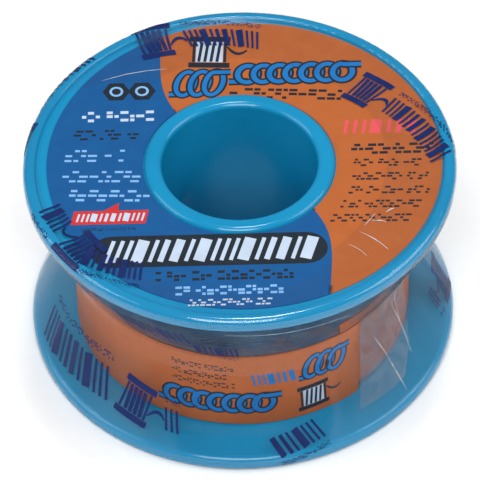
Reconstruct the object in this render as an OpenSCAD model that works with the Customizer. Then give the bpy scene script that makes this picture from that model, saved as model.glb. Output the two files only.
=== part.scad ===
// Small spool of flux-cored solder wire, sealed in clear shrink film.
// Two moulded halves press together: the upper one carries the bore tube,
// the lower one carries the barrel that the wire is wound on.
// Millimetres, +Z along the bore, z = 0 on the surface the spool stands on.

/* [Spool] */
// Diameter of both flanges
flange_d = 45; // [42:0.5:56]
// Height of the moulded spool over its two rims
spool_h = 23.2; // [19:0.1:34]
// Diameter of the through bore
bore_d = 16.2; // [13:0.1:19.5]
// Width of the rounded ring round the bore
hub_ring_w = 1.85; // [1.5:0.05:2.3]
// Height that the hub ring stands above the rim
hub_proud = 0.1; // [0:0.05:0.4]
// Wall of the bore tube
tube_wall = 1.5; // [1.3:0.05:2]

/* [Flange] */
// Thickness of the raised rim
rim_t = 1.8; // [1.5:0.05:2.6]
// Radial width of the raised rim
rim_w = 1.3; // [1.2:0.05:1.6]
// Depth of the label recess below the rim
recess = 0.45; // [0.25:0.05:0.7]
// Radius on the outer corners of the rim
rim_round = 0.7; // [0.5:0.05:0.72]
// Radius on the inner corner of the rim
rim_inner_round = 0.35; // [0.2:0.05:0.4]
// Radius on the corners of the hub ring
hub_round = 0.6; // [0.4:0.05:0.7]

/* [Barrel] */
// Outer diameter of the barrel that the wire is wound on
barrel_d = 30.4; // [27:0.2:36.6]
// Wall of the barrel
barrel_wall = 1.2; // [0.9:0.1:1.6]
// Depth of the locating groove for the barrel's free end
groove_depth = 0.4; // [0.2:0.05:0.6]
// Play round the barrel's end in its groove
groove_play = 0.05; // [0.02:0.01:0.1]
// Wall of the socket that grips the bore tube
socket_wall = 1.2; // [0.8:0.1:1.6]
// Height of that socket above the flange
socket_h = 4; // [2:0.5:8]
// Number of ribs between the socket and the barrel
rib_count = 6; // [4:1:10]
// Thickness of one rib
rib_t = 0.9; // [0.6:0.1:1.4]
// Height of the ribs above the flange
rib_h = 10; // [6:1:14]

/* [Solder] */
// Diameter of the solder wire
wire_d = 0.3; // [0.3:0.1:0.8]
// Diameter of the flux core inside the wire
flux_d = 0.11; // [0.1:0.01:0.2]
// Depth of the wound wire on the barrel
winding_build = 2.4; // [1:0.1:4]
// Radius on the winding's edges beside the flanges
winding_round = 0.3; // [0.1:0.1:0.6]
// Diameter of the hole in the barrel for the start of the wire
start_hole_d = 0.8; // [0.6:0.1:1.4]
// Length of the wire's start inside the hub, past its bend
start_tail_l = 6; // [3:1:9]
// Angle of the wire's start round the barrel
start_angle = 30; // [20:1:40]
// Length of the last turn's loose end, as an angle
end_sweep = 50; // [20:5:80]
// Angle of the cut end round the winding
end_angle = 70; // [60:5:120]
// Distance of the loose end below the upper flange
end_drop = 0.9; // [0.5:0.1:2]

/* [Labels] */
// Outer diameter of the round face labels
face_label_d = 41.1; // [38:0.1:41.2]
// Thickness of the label paper
paper_t = 0.1; // [0.08:0.01:0.15]
// Play between a face label and the hub ring
label_play = 0.05; // [0.02:0.01:0.2]
// Distance that a face label's edge is printed off centre
label_shift = 0.55; // [0:0.05:0.6]
// Direction of that shift
label_shift_angle = 25; // [0:5:355]
// Width of the label round the winding, along the bore
band_w = 10.5; // [6:0.5:14]
// Length of that label's overlap, as an angle
band_overlap = 8; // [4:1:40]
// Angle at which that label's outer end lies
band_end_angle = -48; // [-90:1:-30]

/* [Film] */
// Thickness of the shrink film
film_t = 0.1; // [0.06:0.01:0.15]
// Diameter of the film's open edge on each face
film_edge_d = 30.6; // [26:0.2:34]
// Height over which the film touches the band label
film_waist_h = 2; // [1:0.5:4]
// Distance from the rim at which the film leaves the label
film_lift = 1.2; // [0.8:0.1:2]

/* [Hidden] */
$fn = 96;
// Overlap of shapes that are joined
eps = 0.01;
// Length of a cutter past what it cuts
past = 1;
arc_steps = 8;

flange_r = flange_d / 2;
bore_r = bore_d / 2;
tube_r = bore_r + tube_wall;
hub_ring_r = bore_r + hub_ring_w;
barrel_r = barrel_d / 2;
winding_r = barrel_r + winding_build;

// The film under the rim and the hub ring share the standing plane, whichever is thicker.
rim_z = max(film_t, hub_proud);
hub_z = rim_z - hub_proud;
total_h = spool_h + 2 * rim_z;
floor_z = rim_z + recess;
inner_z = rim_z + rim_t;
upper_inner_z = total_h - inner_z;
mid_z = total_h / 2;

recess_r = flange_r - rim_w;
groove_top_z = upper_inner_z + groove_depth;
barrel_top_z = groove_top_z - groove_play;
wire_r = wire_d / 2;
start_bend_r = 2 * wire_d;
start_z = inner_z + start_hole_d;
barrel_inner_r = barrel_r - barrel_wall;
start_r = barrel_inner_r - start_bend_r - wire_d;
end_r = winding_r + wire_r;
end_z = upper_inner_z - end_drop;
band_z = inner_z + groove_play;
band_r = winding_r + paper_t;
film_in_r = band_r + paper_t + groove_play;

// Section of a flange's raised rim and its disc, with the recess facing down.
module flange_section(inner_r) {
    translate([inner_r, floor_z]) square([flange_r - rim_round - inner_r, inner_z - floor_z]);
    translate([flange_r - rim_round, rim_z + rim_round]) circle(rim_round);
    translate([flange_r - rim_round, inner_z - rim_round]) circle(rim_round);
    translate([recess_r, rim_z + rim_round])
        square([flange_r - recess_r, rim_t - 2 * rim_round]);
    translate([recess_r + rim_inner_round, rim_z])
        square([rim_w - rim_round - rim_inner_round, rim_t]);
    translate([recess_r, rim_z + rim_inner_round])
        square([rim_inner_round * 2, rim_t - rim_inner_round - eps]);
    translate([recess_r + rim_inner_round, rim_z + rim_inner_round]) circle(rim_inner_round);
}

// Section of the rounded ring round the bore, standing down from the flange.
module hub_ring_section() {
    ring_h = inner_z - hub_z;
    translate([bore_r + hub_round, hub_z]) square([hub_ring_w - 2 * hub_round, ring_h]);
    translate([bore_r, hub_z + hub_round]) square([hub_ring_w, ring_h - hub_round]);
    translate([bore_r + hub_round, hub_z + hub_round]) circle(hub_round);
    translate([hub_ring_r - hub_round, hub_z + hub_round]) circle(hub_round);
}

// A flange with its hub ring, recess downwards.
module flange() {
    rotate_extrude() {
        flange_section(bore_r);
        hub_ring_section();
    }
}

// Turns a shape built at the bottom face over to the top face.
module at_top() {
    translate([0, 0, total_h]) mirror([0, 0, 1]) children();
}

// Upper half: flange, hub ring and the whole bore tube, with a groove for the barrel.
module upper_spool_half() color("#2a92c2") {
    difference() {
        union() {
            at_top() flange();
            rotate_extrude()
                translate([bore_r, inner_z]) square([tube_wall, upper_inner_z - inner_z + eps]);
        }
        rotate_extrude()
            translate([barrel_inner_r - groove_play, upper_inner_z - past])
                square([barrel_wall + 2 * groove_play, groove_depth + past]);
    }
}

// Lower half: flange, socket for the tube, ribs and the barrel with its wire hole.
module lower_spool_half() color("#2a92c2") {
    difference() {
        union() {
            flange();
            rotate_extrude() {
                translate([tube_r, inner_z - eps]) square([socket_wall, socket_h + eps]);
                translate([barrel_inner_r, inner_z - eps])
                    square([barrel_wall, barrel_top_z - inner_z + eps]);
            }
            hub_ribs();
        }
        rotate([0, 0, start_angle]) translate([barrel_inner_r - past, 0, start_z])
            rotate([0, 90, 0]) cylinder(d = start_hole_d, h = barrel_wall + 2 * past);
    }
}

// Radial ribs in the hollow hub, from the socket to the barrel.
module hub_ribs() {
    rib_in = tube_r + socket_wall / 2;
    rib_out = barrel_inner_r + barrel_wall / 2;
    for (i = [0 : rib_count - 1])
        rotate([0, 0, i * 360 / rib_count]) {
            translate([rib_in, -rib_t / 2, inner_z - eps]) cube([rib_out - rib_in, rib_t, socket_h]);
            translate([tube_r + socket_wall, -rib_t / 2, inner_z - eps])
                cube([rib_out - tube_r - socket_wall, rib_t, rib_h]);
        }
}

// All turns of the wire, as one solid between the flanges.
module solder_winding() color("#9aa0a6") {
    rotate_extrude() {
        build = winding_r - barrel_r;
        height = upper_inner_z - inner_z;
        translate([barrel_r, inner_z]) square([build - winding_round, height]);
        translate([barrel_r, inner_z + winding_round]) square([build, height - 2 * winding_round]);
        for (z = [inner_z + winding_round, upper_inner_z - winding_round])
            translate([winding_r - winding_round, z]) circle(winding_round);
    }
}

// Start of the wire: in through the barrel's hole, then bent up inside the hub.
module wire_start_tail() color("#b4b8bc") {
    rotate([0, 0, start_angle]) {
        translate([start_r + start_bend_r, 0, start_z]) rotate([0, 90, 0])
            cylinder(d = wire_d, h = barrel_r - start_r - start_bend_r);
        translate([start_r + start_bend_r, 0, start_z + start_bend_r]) rotate([90, 0, 0])
            rotate([0, 0, 180]) rotate_extrude(angle = 90)
                translate([start_bend_r, 0]) circle(d = wire_d);
        translate([start_r, 0, start_z + start_bend_r]) cylinder(d = wire_d, h = start_tail_l);
    }
}

// A stretch of the last turn, swept round the winding from its cut end.
module last_turn_sweep() {
    translate([0, 0, end_z]) rotate([0, 0, end_angle])
        rotate_extrude(angle = end_sweep) translate([end_r, 0]) children();
}

// Loose end of the wire, a solder tube round its flux.
module wire_free_end() color("#b4b8bc") {
    last_turn_sweep() difference() {
        circle(d = wire_d);
        circle(d = flux_d);
    }
}

// Flux inside the loose end, flush with the cut.
module flux_core() color("#c9952f") {
    last_turn_sweep() circle(d = flux_d);
}

// Printed paper round the winding, with its outer end lapped over its start.
module band_label() color("#c8692e") {
    rotate_extrude() translate([winding_r, band_z]) square([paper_t, band_w]);
    rotate([0, 0, band_end_angle - band_overlap]) rotate_extrude(angle = band_overlap)
        translate([band_r - paper_t / 2, band_z]) square([1.5 * paper_t, band_w]);
}

// Round printed paper in a flange's recess, recess downwards.
module face_label(shift_angle) {
    difference() {
        rotate([0, 0, shift_angle]) translate([label_shift, 0, floor_z - paper_t])
            cylinder(d = face_label_d, h = paper_t);
        translate([0, 0, floor_z - past])
            cylinder(r = hub_ring_r + label_play, h = 2 * past);
    }
}

module upper_face_label() color("#1f67a0") {
    at_top() face_label(label_shift_angle);
}

module lower_face_label() color("#1f67a0") {
    face_label(label_shift_angle + 180);
}

// Points at a distance g outside an arc from angle a to angle b. On the arc itself the chords
// touch it from outside, so that the film doesn't cut what it covers.
function arc(c, r, g, a, b) =
    let (out_r = g > 0 ? r + g : r / cos((b - a) / arc_steps / 2))
    [for (i = [0 : arc_steps]) let (t = a + (b - a) * i / arc_steps)
        [c[0] + out_r * cos(t), c[1] + out_r * sin(t)]];

// Half of the film's section at a distance g outside what it covers, from the open edge on the
// lower face, round the rim and up to the waist.
film_rim_c = [flange_r - rim_round, rim_z + rim_round];
film_lip_c = [flange_r - rim_round, inner_z - rim_round];
film_crown_c = [recess_r + rim_inner_round, rim_z + rim_inner_round];
waist_low_z = mid_z - film_waist_h / 2;
film_label_z = floor_z - paper_t;
film_label_r = recess_r - film_lift;
// Angle at which the film meets the rim's inner corner, tangent to it from the label.
crown_dr = film_crown_c[0] - film_label_r;
crown_dz = film_crown_c[1] - film_label_z;
crown_a = 270 + atan2(crown_dz, crown_dr) - asin(rim_inner_round / norm([crown_dr, crown_dz]));
// Angle at which the film leaves the rim for the waist, tangent to the rim's upper corner.
leave_dr = film_lip_c[0] - film_in_r;
leave_dz = waist_low_z - film_lip_c[1];
leave_a = atan2(leave_dr, leave_dz) + asin(rim_round / norm([leave_dr, leave_dz]));

function film_side(g) = concat(
    [[film_edge_d / 2, film_label_z - g], [film_label_r, film_label_z - g]],
    arc(film_crown_c, rim_inner_round, g, crown_a, 270),
    arc(film_rim_c, rim_round, g, 270, 360),
    arc(film_lip_c, rim_round, g, 0, leave_a),
    [[film_in_r + g, waist_low_z]]);

function flipped(p) = [for (i = [len(p) - 1 : -1 : 0]) [p[i][0], total_h - p[i][1]]];

function backwards(p) = [for (i = [len(p) - 1 : -1 : 0]) p[i]];

// Clear printed shrink film, from the open edge on one face to the open edge on the other.
module shrink_film() color("#9fd0e8", 0.35) {
    inside = concat(film_side(0), flipped(film_side(0)));
    outside = concat(film_side(film_t), flipped(film_side(film_t)));
    rotate_extrude() polygon(concat(outside, backwards(inside)));
}

upper_spool_half();
lower_spool_half();
solder_winding();
wire_start_tail();
wire_free_end();
flux_core();
band_label();
upper_face_label();
lower_face_label();
shrink_film();
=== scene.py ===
"""Looks for the solder wire spool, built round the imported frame.

Blender works in metres. Lengths that are named below are in millimetres, and
MM turns them into metres where a point is made.
"""
import math
import random

import bmesh
import bpy
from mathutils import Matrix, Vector, noise


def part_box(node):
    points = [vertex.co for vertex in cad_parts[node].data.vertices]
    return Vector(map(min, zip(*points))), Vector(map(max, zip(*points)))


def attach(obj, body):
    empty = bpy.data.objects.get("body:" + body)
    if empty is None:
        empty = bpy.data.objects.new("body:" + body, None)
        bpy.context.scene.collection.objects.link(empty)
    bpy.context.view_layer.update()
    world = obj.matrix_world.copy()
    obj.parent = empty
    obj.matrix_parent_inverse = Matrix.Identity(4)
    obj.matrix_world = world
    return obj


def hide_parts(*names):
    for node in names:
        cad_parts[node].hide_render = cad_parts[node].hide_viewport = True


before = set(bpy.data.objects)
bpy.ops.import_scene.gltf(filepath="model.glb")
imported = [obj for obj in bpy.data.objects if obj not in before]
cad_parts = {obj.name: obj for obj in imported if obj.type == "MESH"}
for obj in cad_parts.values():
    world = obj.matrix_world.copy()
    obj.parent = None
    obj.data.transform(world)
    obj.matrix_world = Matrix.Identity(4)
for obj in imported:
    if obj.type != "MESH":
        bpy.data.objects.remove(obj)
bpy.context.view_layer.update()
MM = 0.001
BODY = "root"


# ---------------------------------------------------------------- measures from the frame

def low_mm(name):
    return [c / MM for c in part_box(name)[0]]


def high_mm(name):
    return [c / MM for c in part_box(name)[1]]


TOTAL_H = high_mm("shrink_film")[2]
FLANGE_R = high_mm("upper_spool_half")[0]
FILM_T = high_mm("shrink_film")[0] - FLANGE_R
WINDING_R = high_mm("solder_winding")[0]
WINDING_Z0 = low_mm("solder_winding")[2]
WINDING_Z1 = high_mm("solder_winding")[2]
BAND_Z0 = low_mm("band_label")[2]
BAND_W = high_mm("band_label")[2] - BAND_Z0
LABEL_TOP = high_mm("upper_face_label")[2]
LABEL_LOW = low_mm("lower_face_label")[2]
LABEL_R = (high_mm("upper_face_label")[0] - low_mm("upper_face_label")[0]) / 2
LABEL_CX = (high_mm("upper_face_label")[0] + low_mm("upper_face_label")[0]) / 2
LABEL_CY = (high_mm("upper_face_label")[1] + low_mm("upper_face_label")[1]) / 2
PAPER_T = LABEL_TOP - low_mm("upper_face_label")[2]
MID_Z = TOTAL_H / 2

# Sizes that the frame's boxes don't give, as in the CAD source
HUB_R = 10.0
RIM_W = 1.3
RIM_ROUND = 0.7
RIM_INNER_ROUND = 0.35
WIRE_R = 0.15
BARREL_R = 15.2
FILM_WAIST_H = 2.0
FILM_WAIST_R = 17.85
FILM_LIFT = 1.2
LABEL_PLAY = 0.05
BAND_END = math.radians(-48)

SHARP_ANGLE = math.radians(50)


# ---------------------------------------------------------------- helpers

def make_piece(name, bm, materials):
    """Makes a piece from a bmesh, smooth but for its sharp edges, riding on the spool."""
    bmesh.ops.recalc_face_normals(bm, faces=bm.faces)
    for face in bm.faces:
        face.smooth = True
    for edge in bm.edges:
        edge.smooth = edge.calc_face_angle(0.0) < SHARP_ANGLE
    mesh = bpy.data.meshes.new(name)
    bm.to_mesh(mesh)
    bm.free()
    for mat in materials:
        mesh.materials.append(mat)
    piece = bpy.data.objects.new(name, mesh)
    bpy.context.collection.objects.link(piece)
    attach(piece, BODY)
    return piece


def polar(radius, angle, z):
    return Vector((radius * math.cos(angle), radius * math.sin(angle), z)) * MM


def ease(low, high, value):
    """0 below low, 1 above high, smooth between."""
    t = min(max((value - low) / (high - low), 0.0), 1.0)
    return t * t * (3.0 - 2.0 * t)


def follow(table, key):
    """Value at key on a line through (key, value) pairs with rising keys."""
    if key <= table[0][0]:
        return table[0][1]
    for (k0, v0), (k1, v1) in zip(table, table[1:]):
        if key <= k1:
            return v0 + (v1 - v0) * (key - k0) / (k1 - k0)
    return table[-1][1]


def arc(centre, radius, start, end, count):
    """Points on an arc, with its angles in degrees."""
    points = []
    for i in range(count + 1):
        t = math.radians(start + (end - start) * i / count)
        points.append((centre[0] + radius * math.cos(t), centre[1] + radius * math.sin(t)))
    return points


def add_slab(bm, top, low, wrap=False, slot=0):
    """Closes the space between two grids of points, top over low. wrap joins each row's ends."""
    grids = [[[bm.verts.new(p) for p in row] for row in grid] for grid in (top, low)]
    rows = len(top)
    cols = len(top[0])
    last = cols if wrap else cols - 1

    def face(*corners):
        bm.faces.new(corners).material_index = slot

    for i in range(rows - 1):
        for j in range(last):
            k = (j + 1) % cols
            for grid in grids:
                face(grid[i][j], grid[i][k], grid[i + 1][k], grid[i + 1][j])
    for i in (0, rows - 1):
        for j in range(last):
            k = (j + 1) % cols
            face(grids[0][i][j], grids[0][i][k], grids[1][i][k], grids[1][i][j])
    if not wrap:
        for j in (0, cols - 1):
            for i in range(rows - 1):
                face(grids[0][i][j], grids[0][i + 1][j], grids[1][i + 1][j], grids[1][i][j])


# ---------------------------------------------------------------- materials

def new_material(name):
    mat = bpy.data.materials.new(name)
    mat.use_nodes = True
    tree = mat.node_tree
    return mat, tree, tree.nodes["Principled BSDF"]


def object_coords(tree):
    return tree.nodes.new("ShaderNodeTexCoord").outputs["Object"]


def noise_fac(tree, coords, scale, detail=3.0, roughness=0.5):
    node = tree.nodes.new("ShaderNodeTexNoise")
    node.inputs["Scale"].default_value = scale
    node.inputs["Detail"].default_value = detail
    node.inputs["Roughness"].default_value = roughness
    tree.links.new(coords, node.inputs["Vector"])
    return node.outputs["Fac"]


def stretched(tree, coords, scale):
    node = tree.nodes.new("ShaderNodeMapping")
    node.inputs["Scale"].default_value = scale
    tree.links.new(coords, node.inputs["Vector"])
    return node.outputs["Vector"]


def remap(tree, source, to_low, to_high, low=0.3, high=0.7):
    node = tree.nodes.new("ShaderNodeMapRange")
    node.inputs["From Min"].default_value = low
    node.inputs["From Max"].default_value = high
    node.inputs["To Min"].default_value = to_low
    node.inputs["To Max"].default_value = to_high
    tree.links.new(source, node.inputs["Value"])
    return node.outputs["Result"]


def blend_colour(tree, factor, colour_a, colour_b):
    node = tree.nodes.new("ShaderNodeMix")
    node.data_type = "RGBA"
    tree.links.new(factor, node.inputs["Factor"])
    node.inputs["A"].default_value = (*colour_a, 1.0)
    node.inputs["B"].default_value = (*colour_b, 1.0)
    return node.outputs["Result"]


def add_bump(tree, shader, height, strength, distance):
    bump = tree.nodes.new("ShaderNodeBump")
    bump.inputs["Strength"].default_value = strength
    bump.inputs["Distance"].default_value = distance
    tree.links.new(height, bump.inputs["Height"])
    tree.links.new(bump.outputs["Normal"], shader.inputs["Normal"])


def plastic_material():
    """Glossy moulded sky-blue polystyrene, with faint flow marks and a fine moulded skin."""
    mat, tree, shader = new_material("sky_blue_polystyrene")
    coords = object_coords(tree)
    flow = remap(tree, noise_fac(tree, coords, 110.0), 0.0, 1.0)
    colour = blend_colour(tree, flow, (0.004, 0.205, 0.395), (0.006, 0.230, 0.435))
    tree.links.new(colour, shader.inputs["Base Color"])
    skin = noise_fac(tree, coords, 1500.0, 4.0, 0.6)
    tree.links.new(remap(tree, skin, 0.11, 0.16), shader.inputs["Roughness"])
    shader.inputs["IOR"].default_value = 1.52
    shader.inputs["Specular IOR Level"].default_value = 0.36
    add_bump(tree, shader, skin, 0.06, 0.00002)
    return mat


def paper_material(name, light, dark, roughness=0.45):
    """Coated paper: ink with a slight mottle over a fine fibre texture."""
    mat, tree, shader = new_material(name)
    coords = object_coords(tree)
    mottle = remap(tree, noise_fac(tree, coords, 480.0, 5.0, 0.6), 0.0, 1.0)
    tree.links.new(blend_colour(tree, mottle, dark, light), shader.inputs["Base Color"])
    fibre = noise_fac(tree, coords, 3500.0, 3.0, 0.7)
    tree.links.new(remap(tree, fibre, roughness - 0.05, roughness + 0.08), shader.inputs["Roughness"])
    shader.inputs["Specular IOR Level"].default_value = 0.2
    add_bump(tree, shader, fibre, 0.12, 0.00003)
    return mat


def ink_material(name, colour):
    """Printed ink, a little uneven in density."""
    return paper_material(name, tuple(c * 1.15 + 0.004 for c in colour), colour, 0.4)


def solder_material():
    """Drawn tin-lead wire in dark blue-grey: painted shade under the flange and painted blue reflection, with
    noisy tone and roughness.
    """
    mat, tree, shader = new_material("solder_wire_painted_shade")
    coords = object_coords(tree)
    tone_noise = noise_fac(tree, coords, 300.0, 4.0, 0.6)
    tint = remap(tree, tone_noise, 0.0, 1.0)
    # Dark blue-grey instead of bright tin-lead: painted shade under the flange and painted reflection of the
    # blue plastic
    colour = blend_colour(tree, tint, (0.074, 0.132, 0.205), (0.158, 0.242, 0.345))
    tree.links.new(colour, shader.inputs["Base Color"])
    shader.inputs["Metallic"].default_value = 1.0
    tree.links.new(remap(tree, tone_noise, 0.45, 0.30), shader.inputs["Roughness"])
    streaks = noise_fac(tree, stretched(tree, coords, (1.0, 1.0, 6.0)), 4200.0, 2.0)
    add_bump(tree, shader, streaks, 0.15, 0.00001)
    return mat


def flux_material():
    """Amber rosin with a fine grain."""
    mat, tree, shader = new_material("rosin_flux")
    grain = remap(tree, noise_fac(tree, object_coords(tree), 5000.0), 0.0, 1.0)
    colour = blend_colour(tree, grain, (0.42, 0.20, 0.035), (0.62, 0.36, 0.09))
    tree.links.new(colour, shader.inputs["Base Color"])
    shader.inputs["Roughness"].default_value = 0.18
    return mat


def film_material():
    """Clear shrink film: a trace of haze, and a shine that grows at a glancing angle."""
    mat, tree, shader = new_material("clear_shrink_film")
    output = tree.nodes["Material Output"]
    coords = object_coords(tree)
    ripple = noise_fac(tree, coords, 260.0, 3.0)
    clear = tree.nodes.new("ShaderNodeBsdfTransparent")
    clear.inputs["Color"].default_value = (0.985, 0.988, 0.992, 1.0)
    shader.inputs["Roughness"].default_value = 0.11
    shader.inputs["Metallic"].default_value = 1.0
    tree.links.new(
        blend_colour(tree, remap(tree, ripple, 0.0, 1.0), (0.56, 0.57, 0.60), (0.68, 0.69, 0.71)),
        shader.inputs["Base Color"],
    )
    add_bump(tree, shader, ripple, 0.18, 0.0001)
    glance = tree.nodes.new("ShaderNodeLayerWeight")
    glance.inputs["Blend"].default_value = 0.5
    sharp = tree.nodes.new("ShaderNodeMath")
    sharp.operation = "POWER"
    sharp.inputs[1].default_value = 8.0
    tree.links.new(glance.outputs["Facing"], sharp.inputs[0])
    amount = remap(tree, sharp.outputs["Value"], 0.022, 0.92, 0.0, 1.0)
    mix = tree.nodes.new("ShaderNodeMixShader")
    tree.links.new(amount, mix.inputs["Fac"])
    tree.links.new(clear.outputs["BSDF"], mix.inputs[1])
    tree.links.new(shader.outputs["BSDF"], mix.inputs[2])
    tree.links.new(mix.outputs["Shader"], output.inputs["Surface"])
    return mat


def veil_material(name, light, dark, thin, thick):
    """Film that lies on itself, or pale painted highlight on a fold: half clear, and cloudy between the
    shares thin and thick.
    """
    mat, tree, shader = new_material(name)
    output = tree.nodes["Material Output"]
    cloud = noise_fac(tree, object_coords(tree), 900.0, 3.0)
    clear = tree.nodes.new("ShaderNodeBsdfTransparent")
    shader.inputs["Roughness"].default_value = 0.2
    tree.links.new(blend_colour(tree, remap(tree, cloud, 0.0, 1.0), dark, light), shader.inputs["Base Color"])
    mix = tree.nodes.new("ShaderNodeMixShader")
    tree.links.new(remap(tree, cloud, thin, thick), mix.inputs["Fac"])
    tree.links.new(clear.outputs["BSDF"], mix.inputs[1])
    tree.links.new(shader.outputs["BSDF"], mix.inputs[2])
    tree.links.new(mix.outputs["Shader"], output.inputs["Surface"])
    return mat


PLASTIC = plastic_material()
SHADED_SOLDER = solder_material()
FLUX = flux_material()
FILM = film_material()
# Pale part-clear strips on the folds: painted highlight where the folds catch the light
FOLD_HIGHLIGHT = veil_material("film_fold_painted_highlight", (0.86, 0.87, 0.88), (0.70, 0.72, 0.75), 0.18, 0.42)
SEAM = veil_material("lapped_film", (0.17, 0.23, 0.30), (0.11, 0.16, 0.23), 0.16, 0.30)
LABEL_BLUE = paper_material("label_blue", (0.004, 0.080, 0.245), (0.003, 0.070, 0.225))
LABEL_ORANGE = paper_material("label_orange", (0.400, 0.106, 0.026), (0.365, 0.092, 0.021))
INK_DARK = ink_material("ink_dark", (0.008, 0.014, 0.022))
INK_PALE = ink_material("ink_pale", (0.400, 0.480, 0.590))
INK_SKY = ink_material("ink_sky", (0.170, 0.350, 0.600))
INK_RED = ink_material("ink_red", (0.440, 0.025, 0.025))
INK_PINK = ink_material("ink_pink", (0.560, 0.070, 0.080))
INK_BLUE = ink_material("ink_blue", (0.006, 0.130, 0.380))
INK_NAVY = ink_material("ink_navy", (0.002, 0.012, 0.085))


# ---------------------------------------------------------------- CAD pieces that stay

def dress(node, mat):
    """Gives a CAD node its finish."""
    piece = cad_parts[node]
    piece.data.materials.clear()
    piece.data.materials.append(mat)


dress("upper_spool_half", PLASTIC)
dress("lower_spool_half", PLASTIC)
dress("wire_start_tail", SHADED_SOLDER)
dress("wire_free_end", SHADED_SOLDER)
dress("flux_core", FLUX)


# ---------------------------------------------------------------- printed marks

# How much higher a mark lies that crosses another one
OVER = 0.008


class Marks:
    """Thin closed printed shapes on one surface. Points are in millimetres along that surface."""

    # Longest side of a face, so that a shape follows a curved surface
    STEP = 0.55
    # Difference in height between one shape and the next
    RISE = 0.0007
    # Points round a ring
    RING_STEPS = 28
    # Share of a filled shape that is left as one small hole, too small to see, at its middle
    CORE = 0.02

    def __init__(self, place, lift, depth=0.008):
        self.place = place
        self.lift = lift
        self.depth = depth
        self.count = 0
        self.bm = bmesh.new()

    def patch(self, rows, wrap=False, raised=0.0):
        """Closed shape through rows of points. Neighbours differ in height, so that none coincide."""
        self.count += 1
        foot = self.lift + raised + self.RISE * (self.count % 4)
        top = [[self.place(u, v, foot + self.depth) for u, v in row] for row in rows]
        low = [[self.place(u, v, foot) for u, v in row] for row in rows]
        add_slab(self.bm, top, low, wrap)

    def bar(self, start, end, width, raised=0.0):
        """Straight bar between two points."""
        length = math.dist(start, end)
        du = (end[0] - start[0]) / length
        dv = (end[1] - start[1]) / length
        along = max(1, math.ceil(length / self.STEP))
        across = max(1, math.ceil(width / self.STEP))
        rows = []
        for i in range(along + 1):
            s = length * i / along
            row = []
            for j in range(across + 1):
                t = width * (j / across - 0.5)
                row.append((start[0] + du * s - dv * t, start[1] + dv * s + du * t))
            rows.append(row)
        self.patch(rows, raised=raised)

    def stroke(self, points, width, tip):
        """Ribbon along a line of points, narrowing to tip at its two ends."""
        rows = []
        count = len(points)
        for i, (u, v) in enumerate(points):
            a = points[max(i - 1, 0)]
            b = points[min(i + 1, count - 1)]
            run = math.dist(a, b)
            du = (b[0] - a[0]) / run
            dv = (b[1] - a[1]) / run
            swell = math.sin(math.pi * i / (count - 1))
            half = (tip + (width - tip) * swell) / 2
            rows.append([(u - dv * half * k, v + du * half * k) for k in (-1, 0, 1)])
        self.patch(rows)

    def ring(self, centre, radius_u, radius_v, width, turn=0.0, raised=0.0):
        """Ellipse outline."""
        rows = []
        for k in (-0.5, 0.5):
            row = []
            for i in range(self.RING_STEPS):
                t = 2 * math.pi * i / self.RING_STEPS
                u = (radius_u + width * k) * math.cos(t)
                v = (radius_v + width * k) * math.sin(t)
                row.append((centre[0] + u * math.cos(turn) - v * math.sin(turn),
                            centre[1] + u * math.sin(turn) + v * math.cos(turn)))
            rows.append(row)
        self.patch(rows, wrap=True, raised=raised)

    def blob(self, outline, rings=3):
        """Filled shape inside an outline that bulges outward all round."""
        cu = sum(p[0] for p in outline) / len(outline)
        cv = sum(p[1] for p in outline) / len(outline)
        rows = []
        for i in range(rings + 1):
            share = self.CORE + (1 - self.CORE) * i / rings
            rows.append([(cu + (u - cu) * share, cv + (v - cv) * share) for u, v in outline])
        self.patch(rows, wrap=True)

    def finish(self, name, mat):
        piece = make_piece(name, self.bm, [mat])


def along_line(origin, angle):
    """Turns points of a mark's own (x, y) into the surface's, at origin and turned by angle."""
    c = math.cos(angle)
    s = math.sin(angle)

    def place(x, y):
        return (origin[0] + x * c - y * s, origin[1] + x * s + y * c)

    return place


# Which of a row's three levels a column has a dash on. No column has an upright, so none is a letter.
DASHES = ((0, 2), (0, 1), (1, 2), (0, 2), (1,))


def filler_row(marks, origin, length, height, seed, angle=0.0, slant=0.2, weight=0.24):
    """A row of small dashes on three levels where the real label has writing. It spells nothing."""
    chooser = random.Random(seed)
    place = along_line(origin, angle)
    thick = height * weight
    centres = (thick / 2, height / 2, height - thick / 2)
    gap = 0.12
    x = 0.0
    last = None
    while x < length - 0.25 * height:
        width = min(height * chooser.choice((0.30, 0.42, 0.56)), length - x)
        levels = chooser.choice([d for d in DASHES if d != last])
        for y in (centres[k] for k in levels):
            marks.bar(place(x + slant * y, y), place(x + width + slant * y, y), thick)
        last = levels
        x += width + gap * height
        if chooser.random() < 0.10:
            x += 0.35 * height


# Bars of each tile in turn, as (middle, width) in shares of the tile
TILE_BARS = (
    ((0.10, 0.15), (0.45, 0.15), (0.80, 0.15)),
    ((0.25, 0.44), (0.76, 0.15)),
    ((0.15, 0.22), (0.64, 0.34)),
    ((0.12, 0.15), (0.60, 0.44)),
)


def tile_row(marks, origin, count, pitch, height, lean):
    """A row of plain leaning bars of uneven widths, like a bar code, where the real print has signs."""
    for i in range(count):
        for middle, width in TILE_BARS[i % len(TILE_BARS)]:
            foot = origin[0] + pitch * (i + middle)
            top = (foot + lean * height, origin[1] + height)
            marks.bar((foot, origin[1]), top, pitch * width)


# ---------------------------------------------------------------- round face labels

# The two lines between the label's colours: angles in degrees at the hub and at the label's edge, and
# how far a line sways to each side on the way
UPPER_DIVIDE = (130.5, 113.5)
LOWER_DIVIDE = (-42.0, -64.5)
DIVIDE_SWAY = 0.75


def divide_angle(ends, share):
    """Angle in degrees of a line between the colours, at a share of the way from hub to edge."""
    return ends[0] + (ends[1] - ends[0]) * share + DIVIDE_SWAY * math.sin(2 * math.pi * share)


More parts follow.
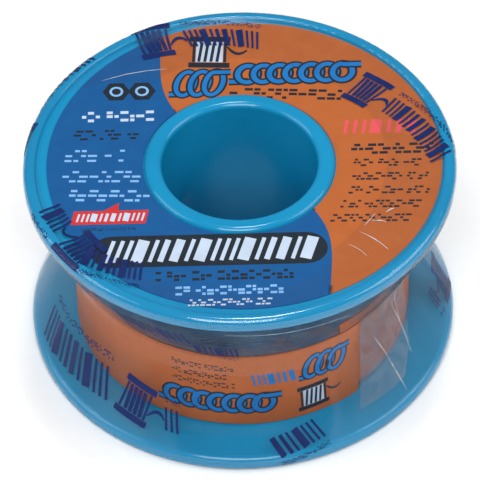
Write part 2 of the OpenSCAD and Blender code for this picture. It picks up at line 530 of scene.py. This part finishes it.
def label_edge(angle):
    """Radius of the label's edge, which is printed off centre."""
    along = LABEL_CX * math.cos(angle) + LABEL_CY * math.sin(angle)
    return along + math.sqrt(LABEL_R ** 2 - LABEL_CX ** 2 - LABEL_CY ** 2 + along ** 2)


def build_face_label(name, node, z_top, mirror):
    """Paper disc in two colours that meet along two curved lines."""
    bm = bmesh.new()
    radial = 26
    inner = HUB_R + LABEL_PLAY
    for slot, start, end, steps in (
        (0, UPPER_DIVIDE, LOWER_DIVIDE, 120),
        (1, LOWER_DIVIDE, UPPER_DIVIDE, 120),
    ):
        top = []
        low = []
        for i in range(steps + 1):
            row = []
            for j in range(radial + 1):
                share = j / radial
                a = divide_angle(start, share)
                b = divide_angle(end, share)
                while b < a:
                    b += 360
                angle = math.radians(a + (b - a) * i / steps)
                radius = inner + (label_edge(angle) - inner) * share
                row.append((radius * mirror, angle * mirror))
            top.append([polar(r, t, z_top) for r, t in row])
            low.append([polar(r, t, z_top - PAPER_T) for r, t in row])
        add_slab(bm, top, low, slot=slot)
    bmesh.ops.remove_doubles(bm, verts=bm.verts, dist=1e-7)
    piece = make_piece(name, bm, [LABEL_BLUE, LABEL_ORANGE])
    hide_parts(node)


def on_upper_label(x, y, lift):
    return Vector((x, y, LABEL_TOP + lift)) * MM


def on_lower_label(x, y, lift):
    return Vector((-x, y, LABEL_LOW - lift)) * MM


def rounded_bar(x0, x1, y0, y1):
    """Outline of a bar with half-round ends."""
    radius = (y1 - y0) / 2
    mid = (y0 + y1) / 2
    right = arc((x1 - radius, mid), radius, -90, 90, 10)
    left = arc((x0 + radius, mid), radius, 90, 270, 10)
    return right + left


def hexagon(centre, radius):
    return arc(centre, radius, 0, 300, 5)


def spool_icon(dark, light, origin, size, angle=0.0, wire=0.14):
    """Side view of a spool with its wound wire, and a loose end that curls away."""
    place = along_line(origin, angle)
    for y in (-0.85, 0.85):
        dark.bar(place(-0.95 * size, y * size), place(0.95 * size, y * size), 0.32 * size)
    if light:
        light.bar(place(0.0, -0.66 * size), place(0.0, 0.66 * size), 1.24 * size)
    for x in (-0.48, -0.20, 0.08, 0.36):
        dark.bar(place(x * size, -0.64 * size), place((x + 0.12) * size, 0.64 * size), wire * size, OVER)
    for x in (-0.72, 0.72):
        dark.bar(place(x * size, -0.66 * size), place(x * size, 0.66 * size), 0.13 * size)
    curl = [(0.82 + 0.9 * t, 0.35 - 1.5 * t + 1.3 * t * t) for t in [i / 12 for i in range(13)]]
    dark.stroke([place(x * size, y * size) for x, y in curl], 0.18 * size, 0.08 * size)


def coil_mark(blue, dark, origin, width, height, loops):
    """A spring of leaning wire loops, each laid over the last, with a straight lead at each end."""
    pitch = width / (loops + 1)
    mid = origin[1] + height / 2
    climb = 0.006
    outline = 0.62 * pitch
    core = 0.34 * pitch
    left = (origin[0] - 0.2 * pitch, origin[1] + 0.1 * height)
    right = (origin[0] + width + 0.2 * pitch, origin[1] + 0.9 * height)
    for marks, weight in ((dark, outline), (blue, core)):
        marks.bar(left, (left[0] + 1.2 * pitch, left[1]), weight)
        for i in range(loops):
            centre = (origin[0] + pitch * (i + 1), mid)
            marks.ring(centre, pitch * 0.62, height * 0.46, weight, -0.28, climb * (i + 1))
        marks.bar((right[0] - 1.2 * pitch, right[1]), right, weight, climb * (loops + 1))


def print_face_label(place, prefix):
    """All the printing on one face label."""
    dark = Marks(place, 0.004)
    panel = Marks(place, 0.002, 0.004)
    pale = Marks(place, 0.008, 0.008)
    sky = Marks(place, 0.004)
    red = Marks(place, 0.004)
    pink = Marks(place, 0.004)
    blue = Marks(place, 0.007)

    # Blue side
    for x in (-12.8, -10.1):
        dark.blob(hexagon((x, 10.9), 1.45))
        sky.ring((x, 10.9), 0.6, 0.6, 0.26, raised=OVER)
    filler_row(pale, (-16.4, 6.5), 7.8, 1.5, 3, 0.0, 0.0, weight=0.26)
    filler_row(dark, (-17.6, 3.9), 7.0, 1.4, 5, 0.0, 0.5, weight=0.2)
    filler_row(sky, (-18.2, 0.8), 7.2, 1.7, 7, -0.02, 0.1, weight=0.17)
    filler_row(sky, (-18.6, -2.1), 8.6, 1.6, 11, -0.03, 0.25, weight=0.18)
    filler_row(sky, (-17.9, -4.8), 8.8, 1.6, 13, -0.04, 0.25, weight=0.2)

    # Red lozenge with a peak
    lean = 0.35
    red.blob([(-17.5, -8.2), (-9.8, -8.2), (-9.8 + lean, -6.3), (-17.5 + lean, -6.3)], 8)
    red.blob([(-14.2, -6.4), (-12.6, -6.4), (-12.5, -5.2)], 3)
    tile_row(pale, (-17.0, -7.8), 5, 1.42, 1.1, 0.25)
    filler_row(dark, (-16.4, -9.1), 5.6, 0.4, 19, 0.0, 0.0)

    # Dark pill with slanted pale tiles
    panel.blob(rounded_bar(-15.4, 8.8, -14.3, -9.95), 8)
    tile_row(pale, (-14.2, -13.6), 8, 2.72, 3.0, 0.30)
    filler_row(dark, (-8.8, -16.3), 14.0, 1.3, 23, 0.0, 0.0, weight=0.26)
    filler_row(sky, (-6.8, -18.3), 11.2, 1.2, 29, 0.0, 0.0, weight=0.26)
    filler_row(pale, (-5.6, -19.8), 8.6, 0.9, 31, 0.0, 0.3)

    # Orange side
    spool_icon(dark, pale, (-2.9, 16.5), 2.3, -0.05)
    coil_mark(blue, dark, (-7.0, 9.9), 6.0, 3.9, 3)
    coil_mark(blue, dark, (-0.6, 11.7), 13.4, 2.7, 7)
    filler_row(dark, (-1.0, 9.6), 11.8, 1.5, 37, -0.06, 0.1)
    tile_row(pink, (10.8, 3.9), 3, 2.7, 2.0, 0.15)
    filler_row(dark, (11.2, 0.9), 8.2, 1.5, 41, 0.0, 0.6)
    for i, (x, length) in enumerate(((11.6, 7.4), (11.4, 7.9), (11.1, 8.3), (10.2, 8.2), (9.1, 8.1))):
        filler_row(dark, (x, -0.8 - 1.95 * i), length, 1.05, 43 + i, -0.02, 0.4)

    dark.finish(prefix + "_print_dark", INK_DARK)
    panel.finish(prefix + "_print_panel", INK_DARK)
    pale.finish(prefix + "_print_pale", INK_PALE)
    sky.finish(prefix + "_print_sky", INK_SKY)
    red.finish(prefix + "_print_red", INK_RED)
    pink.finish(prefix + "_print_pink", INK_PINK)
    blue.finish(prefix + "_print_blue", INK_BLUE)


build_face_label("upper_label_paper", "upper_face_label", LABEL_TOP, 1)
build_face_label("lower_label_paper", "lower_face_label", LABEL_LOW + PAPER_T, -1)
print_face_label(on_upper_label, "upper_label")
print_face_label(on_lower_label, "lower_label")


# ---------------------------------------------------------------- wound wire

def build_winding():
    """The outer layer of turns as one wire, over a drum that stands for the layers below it."""
    bm = bmesh.new()
    pitch = 2 * WIRE_R
    turns = int((WINDING_Z1 - WINDING_Z0) / pitch) - 1
    per_turn = 120
    sides = 6
    wander_height = 0.02
    room = 0.02
    centre_r = WINDING_R - WIRE_R
    start_z = WINDING_Z0 + WIRE_R
    rings = []
    for i in range(turns * per_turn + 1):
        t = i / per_turn
        # The wire lies flat through most of a turn and steps over to the next one
        step = math.floor(t) + ease(0.9, 1.0, t % 1.0)
        angle = 2 * math.pi * t + math.radians(100)
        wander = wander_height * math.sin(7 * angle + 0.6 * math.floor(t))
        ring = []
        for k in range(sides):
            a = 2 * math.pi * k / sides
            ring.append(bm.verts.new(polar(
                centre_r + WIRE_R * math.cos(a),
                angle,
                start_z + pitch * step + wander + WIRE_R * math.sin(a),
            )))
        rings.append(ring)
    for a, b in zip(rings, rings[1:]):
        for k in range(sides):
            m = (k + 1) % sides
            bm.faces.new((a[k], a[m], b[m], b[k]))
    bm.faces.new(rings[0])
    bm.faces.new(rings[-1])

    top = []
    low = []
    around = 120
    for z in (WINDING_Z0 + room, MID_Z, WINDING_Z1 - room):
        top.append([polar(centre_r, 2 * math.pi * i / around, z) for i in range(around)])
        low.append([polar(BARREL_R + room, 2 * math.pi * i / around, z) for i in range(around)])
    add_slab(bm, top, low, wrap=True)
    piece = make_piece("wound_solder_wire", bm, [SHADED_SOLDER])
    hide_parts("solder_winding")


build_winding()


# ---------------------------------------------------------------- band label

# Angle that the paper covers, how far its edge climbs in a turn, and its room off the wire, in mm
BAND_TURN = math.radians(368)
BAND_SKEW = 1.3
BAND_GAP = 0.01


def band_radius(back):
    """Radius under the paper, where back is the angle from its outer end."""
    lap = BAND_TURN - 2 * math.pi
    return WINDING_R + BAND_GAP + PAPER_T * (1 - ease(lap, lap + 0.1, back))


def on_band(u, v, lift):
    """Point on the band label: u is mm from its outer end, v is mm above its lower edge."""
    back = -u / WINDING_R
    return polar(band_radius(back) + PAPER_T + lift, BAND_END - back,
                 BAND_Z0 + BAND_SKEW * back / (2 * math.pi) + v)


def build_band():
    """Strip of paper wound a little askew, so that its lower edge climbs as it goes round."""
    bm = bmesh.new()
    steps = 300
    rows = 8
    top = []
    low = []
    for i in range(steps + 1):
        u = -BAND_TURN * WINDING_R * i / steps
        heights = [BAND_W * j / rows for j in range(rows + 1)]
        top.append([on_band(u, v, 0.0) for v in heights])
        low.append([on_band(u, v, -PAPER_T) for v in heights])
    add_slab(bm, top, low)
    piece = make_piece("band_label_paper", bm, [LABEL_ORANGE])
    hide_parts("band_label")


def print_band():
    """Printing that repeats round the band."""
    dark = Marks(on_band, 0.004)
    pale = Marks(on_band, 0.010, 0.006)
    blue = Marks(on_band, 0.007)
    repeat = 36.0
    for k in range(3):
        base = -repeat * k
        coil_mark(blue, dark, (base - 22.0, 2.0), 12.6, 2.6, 7)
        coil_mark(blue, dark, (base - 7.0, 5.6), 5.4, 3.4, 3)
        tile_row(blue, (base - 12.0, 6.0), 3, 1.6, 1.7, -0.2)
        spool_icon(dark, pale, (base - 5.6, 2.7), 1.85, 0.05)
        for i, length in enumerate((6.6, 6.0, 6.8)):
            filler_row(dark, (base - 20.6, 8.2 - 1.3 * i), length, 0.75, 70 + 5 * k + i, 0.0, 0.0)
    dark.finish("band_print_dark", INK_DARK)
    pale.finish("band_print_pale", INK_PALE)
    blue.finish("band_print_blue", INK_BLUE)


build_band()
print_band()


# ---------------------------------------------------------------- shrink film

# Room between the film and the labels, the film's own thickness, and its room off the rims
FILM_GAP = 0.03
FILM_THICK = 0.05
FILM_NEAR = 0.02
# Room that marks and the painted fold highlights have above the film
ON_FILM = 0.002


def film_half_section():
    """Half of the film's section as (radius, z): along the lower face, round the rim, to the waist."""
    rim_r = FLANGE_R - RIM_ROUND
    rim_low = FILM_T + RIM_ROUND
    rim_high = WINDING_Z0 - RIM_ROUND
    crown = (FLANGE_R - RIM_W + RIM_INNER_ROUND, FILM_T + RIM_INNER_ROUND)
    waist_z = MID_Z - FILM_WAIST_H / 2
    run = rim_r - FILM_WAIST_R
    rise = waist_z - rim_high
    leave = math.degrees(math.atan2(run, rise) + math.asin(RIM_ROUND / math.hypot(run, rise)))
    points = [(HUB_R + 1, LABEL_LOW - FILM_GAP), (FLANGE_R - RIM_W - FILM_LIFT, LABEL_LOW - FILM_GAP)]
    points += arc(crown, RIM_INNER_ROUND + FILM_NEAR, 257, 270, 4)
    points += arc((rim_r, rim_low), RIM_ROUND + FILM_NEAR, 270, 360, 10)
    points += arc((rim_r, rim_high), RIM_ROUND + FILM_NEAR, 0, leave, 10)
    points.append((FILM_WAIST_R + FILM_NEAR, waist_z))
    return points


LOWER_HALF = film_half_section()
FILM_SECTION = [(r, TOTAL_H - z) for r, z in LOWER_HALF] + LOWER_HALF[::-1]
CROWN_INDEX = 6


def section_lengths():
    """Distance along the film's section at each of its points, from 0 on top of the upper rim."""
    out = [0.0]
    for a, b in zip(FILM_SECTION, FILM_SECTION[1:]):
        out.append(out[-1] + math.dist(a, b))
    return [s - out[CROWN_INDEX] for s in out]


FILM_V = section_lengths()
LOWER_CROWN_V = FILM_V[-1 - CROWN_INDEX]
MIDDLE_V = LOWER_CROWN_V / 2
# Where the film leaves the rim's curve, where it meets the waist, and where its uneven top edge stops
CONE_V = 2.3
CONE_END_V = MIDDLE_V - FILM_WAIST_H / 2
RIM_ARC = 2.1
# How high the film's broad waves, fine waves and gathers stand, in mm
BROAD_WAVE = 0.10
FINE_WAVE = 0.05
GATHER = 0.035

# Tension creases from flange to flange: angle at the top in degrees, lean, width and height in mm
CREASES = [
    (-26, -8, 1.0, 0.16), (-36, -9, 0.8, 0.14), (-17, -4, 1.4, 0.12), (-3, 3, 1.2, 0.12),
    (14, 6, 1.3, 0.16), (35, -6, 1.6, 0.14), (58, 4, 1.2, 0.12), (81, -5, 1.5, 0.16),
    (104, 7, 1.3, 0.12), (127, -4, 1.4, 0.14), (149, 5, 1.2, 0.14), (171, -6, 1.4, 0.12),
    (196, 5, 1.2, 0.14), (217, -5, 1.6, 0.10), (246, 4, 1.8, 0.08), (300, -6, 1.4, 0.10),
]


def film_ripple(angle, v):
    """Height of the film's creases and ripples over its plain section, in mm."""
    degrees = math.degrees(angle)
    if v < MIDDLE_V:
        hang = (v - CONE_V) / (CONE_END_V - CONE_V)
    else:
        hang = (LOWER_CROWN_V - CONE_V - v) / (CONE_END_V - CONE_V)
    height = 0.0
    if 0 < hang < 1:
        free = math.sin(math.pi * hang) ** 0.8
        share = v / LOWER_CROWN_V
        for top, lean, width, tall in CREASES:
            off = (degrees - top - lean * share + 180) % 360 - 180
            across = math.radians(off) * FILM_WAIST_R
            height += free * tall * math.exp(-(across / (width * 0.45)) ** 2)
        wide = noise.noise(Vector((3.2 * math.cos(angle), 3.2 * math.sin(angle), v * 0.12)))
        height += free * BROAD_WAVE * wide
    flat = ease(-1.4, -2.8, v) if v < 0 else ease(LOWER_CROWN_V + 1.4, LOWER_CROWN_V + 2.8, v)
    if flat > 0:
        fine = noise.noise(Vector((9 * math.cos(angle), 9 * math.sin(angle), v * 0.35)))
        gather = 0.5 + 0.5 * math.sin(degrees * 0.9 + 2.5 * math.sin(degrees * 0.06))
        height += flat * (FINE_WAVE * max(fine, 0.0) + GATHER * gather ** 4)
    return height


def on_film(angle, v, lift):
    """Point on the film at an angle, v mm along its section, lift mm outside it."""
    j = 1
    while j < len(FILM_V) - 1 and FILM_V[j] < v:
        j += 1
    (r0, z0), (r1, z1) = FILM_SECTION[j - 1], FILM_SECTION[j]
    span = FILM_V[j] - FILM_V[j - 1]
    t = (v - FILM_V[j - 1]) / span
    out = lift + film_ripple(angle, v)
    normal_r = -(z1 - z0) / span
    normal_z = (r1 - r0) / span
    return polar(r0 + (r1 - r0) * t + normal_r * out, angle, z0 + (z1 - z0) * t + normal_z * out)


# How far the film reaches over each face, as angle in degrees and v in mm
UPPER_EDGE = [
    (-180, -0.5), (-160, -1.0), (-138, -1.9), (-115, -3.4), (-85, -3.2), (-62, -4.2), (-53, -6.2),
    (0, -6.3), (90, -6.3), (126, -6.2), (138, -3.2), (149, -0.6), (165, -0.4), (180, -0.5),
]


def upper_edge(angle):
    degrees = (math.degrees(angle) + 180) % 360 - 180
    return follow(UPPER_EDGE, degrees) + 0.12 * math.sin(5 * angle) + 0.06 * math.sin(13 * angle + 1)


def film_stations():
    """Where the film's rings lie along its section: close together on the bends."""
    stations = [-6.2 + 0.4 * i for i in range(15)]
    stations += [-0.45 + 0.14 * i for i in range(21)]
    stations += [2.7 + (MIDDLE_V - 2.7) * (i / 18) for i in range(19)]
    mirrored = [LOWER_CROWN_V - s for s in stations[::-1]]
    return stations + mirrored[1:]


def build_film():
    """Closed thin sleeve over both flanges."""
    stations = film_stations()
    around = 300
    top = [[] for _ in stations]
    low = [[] for _ in stations]
    for i in range(around):
        angle = 2 * math.pi * i / around - math.pi
        start = upper_edge(angle)
        for k, v in enumerate(stations):
            if v < RIM_ARC:
                v = start + (v - stations[0]) * (RIM_ARC - start) / (RIM_ARC - stations[0])
            top[k].append(on_film(angle, v, FILM_THICK))
            low[k].append(on_film(angle, v, 0.0))
    bm = bmesh.new()
    add_slab(bm, top, low, wrap=True)
    piece = make_piece("film_sleeve", bm, [FILM])
    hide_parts("shrink_film")


def print_film():
    """Navy printing that repeats over the film."""
    navy = Marks(None, 0.0)
    pitch = 1.9

    def motif(degrees, v, turn, size, tiles, icon):
        """One repeat: a spool icon if wanted, then a row of tiles over a row of dashes."""
        turned = along_line((0.0, 0.0), turn)

        def place(x, y, lift):
            u, w = turned(x * size, y * size)
            angle = math.radians(degrees) - u / FLANGE_R
            return on_film(angle, v - w, FILM_THICK + ON_FILM + lift)

        navy.place = place
        if icon:
            spool_icon(navy, None, (-3.0, 0.8), 2.3, 0.1, 0.21)
        tile_row(navy, (0.6, 0.0), tiles, pitch, 2.5, 0.25)
        filler_row(navy, (0.6, -1.1), pitch * tiles, 0.5, int(degrees) + 500, 0.0, 0.0)

    for degrees, v, turn, size, tiles, icon in (
        (108, -1.0, 0.12, 1.0, 5, True),
        (30, -3.0, -0.30, 1.0, 6, True),
        (-152, -0.2, -0.10, 1.0, 2, True),
        (-172, 19.7, 3.05, 1.45, 5, False),
        (-116, 19.6, 3.2, 1.0, 1, True),
        (-121, -2.7, -0.35, 1.0, 4, False),
        (-104, 8.4, 0.05, 1.2, 4, False),
        (-90, 11.8, 0.15, 1.0, 3, False),
        (-66, 23.0, -0.25, 1.0, 3, False),
        (-6, 22.0, 0.2, 1.0, 1, True),
        (70, 9.5, 0.1, 1.0, 6, True),
        (130, 15.0, -0.1, 1.0, 6, True),
        (60, 22.5, 0.1, 1.0, 6, True),
        (160, 3.5, 0.1, 1.0, 5, True),
        (15, 9.0, 0.2, 1.0, 4, True),
    ):
        motif(degrees, v, turn, size, tiles, icon)
    navy.finish("film_print_navy", INK_NAVY)


def crease_film():
    """Pale strips as painted highlight where the film's sharp folds catch the light. Their points are
    (degrees, mm along the section).
    """
    fold_highlights = Marks(None, 0.0, 0.02)
    bow_height = 0.6
    fold_highlights.place = lambda u, v, lift: on_film(math.radians(u), v, FILM_THICK + ON_FILM + lift)
    step = 24
    for start, end, width in (
        ((-30.5, 13.2), (-32.5, 20.4), 0.30),
        ((-43.5, 15.0), (-39.5, 23.4), 0.30),
        ((-25.0, 10.0), (-30.5, 16.5), 0.22),
        ((-40.0, -5.8), (-40.5, -1.9), 0.34),
        ((-47.5, -5.4), (-47.0, -2.9), 0.26),
        ((-33.0, -5.6), (-31.0, -4.2), 0.26),
        ((-27.0, -4.9), (-24.0, -4.3), 0.22),
        ((-36.5, -5.9), (-29.0, -5.8), 0.10),
        ((139.0, -2.6), (118.0, -5.7), 0.10),
        ((-95.0, 3.4), (-60.0, 4.4), 0.10),
    ):
        line = []
        for i in range(step + 1):
            t = i / step
            bow = bow_height * math.sin(math.pi * t)
            line.append((start[0] + (end[0] - start[0]) * t + bow, start[1] + (end[1] - start[1]) * t))
        fold_highlights.stroke(line, width, width * 0.2)
    fold_highlights.finish("film_fold_highlights", FOLD_HIGHLIGHT)


# The film's seam: mm along the section against the angles in degrees of its left and right edges
SEAM_LEFT = [(1.6, -40.0), (15.0, -49.0), (22.0, -56.0)]
SEAM_RIGHT = [(1.6, -14.0), (15.0, -21.0), (22.0, -38.0)]


def lap_film():
    """Seam where the film's two ends lie on each other, from the upper rim to the lower one."""
    seam = Marks(None, 0.0, 0.01)
    seam.place = lambda u, v, lift: on_film(math.radians(u), v, FILM_THICK + 0.001 + lift)
    rows = []
    across = 16
    along = 40
    first = SEAM_LEFT[0][0]
    last = SEAM_LEFT[-1][0]
    for i in range(along + 1):
        v = first + (last - first) * i / along
        left = follow(SEAM_LEFT, v)
        right = follow(SEAM_RIGHT, v)
        rows.append([(left + (right - left) * j / across, v) for j in range(across + 1)])
    seam.patch(rows)
    seam.finish("film_seam", SEAM)


build_film()
print_film()
crease_film()
lap_film()


# ---------------------------------------------------------------- stage

def build_floor():
    """Plain pale sheet under the spool."""
    mat, tree, shader = new_material("floor_paper")
    grain = remap(tree, noise_fac(tree, object_coords(tree), 900.0), 0.0, 1.0)
    colour = blend_colour(tree, grain, (0.900, 0.905, 0.905), (0.915, 0.920, 0.920))
    tree.links.new(colour, shader.inputs["Base Color"])
    shader.inputs["Roughness"].default_value = 0.9
    shader.inputs["Specular IOR Level"].default_value = 0.1
    bm = bmesh.new()
    bmesh.ops.create_grid(bm, x_segments=8, y_segments=8, size=1.2)
    mesh = bpy.data.meshes.new("floor")
    bm.to_mesh(mesh)
    bm.free()
    mesh.materials.append(mat)
    floor = bpy.data.objects.new("floor", mesh)
    bpy.context.collection.objects.link(floor)


def soft_light(name, position, size, power):
    """Square soft box that faces the spool."""
    data = bpy.data.lights.new(name, "AREA")
    data.size = size
    data.energy = power
    light = bpy.data.objects.new(name, data)
    light.location = position
    target = Vector((0.0, 0.0, MID_Z * MM))
    light.rotation_euler = (target - Vector(position)).to_track_quat("-Z", "Y").to_euler()
    bpy.context.collection.objects.link(light)


def build_camera():
    """Long lens from the front and above, at the photographer's angle."""
    elevation = math.radians(46.15)
    distance = 0.472
    roll = math.radians(-1.43)
    pivot = Vector((0.0, 0.0, (TOTAL_H - RIM_ROUND) * MM))
    position = pivot + distance * Vector((0.0, -math.cos(elevation), math.sin(elevation)))
    aim = Vector((-0.00015, -0.0056, 0.0173))
    data = bpy.data.cameras.new("camera")
    data.sensor_width = 36.0
    data.lens = 340.9
    data.clip_end = 10.0
    camera = bpy.data.objects.new("camera", data)
    camera.location = position
    camera.rotation_euler = (aim - position).to_track_quat("-Z", "Y").to_euler()
    camera.rotation_euler.rotate_axis("Z", roll)
    bpy.context.collection.objects.link(camera)
    bpy.context.scene.camera = camera


def build_world():
    world = bpy.data.worlds.new("studio")
    world.use_nodes = True
    background = world.node_tree.nodes["Background"]
    background.inputs["Color"].default_value = (1.0, 1.0, 1.0, 1.0)
    background.inputs["Strength"].default_value = 0.25
    bpy.context.scene.world = world


build_floor()
build_camera()
build_world()
soft_light("key", (-0.03, -0.42, 0.50), 0.35, 3.0)
soft_light("fill_left", (-0.70, 0.0, 0.55), 0.60, 3.0)
soft_light("fill_right", (0.70, -0.05, 0.55), 0.60, 3.4)
soft_light("top", (0.04, 0.24, 0.90), 0.14, 2.3)
bpy.context.scene.view_settings.view_transform = "Standard"
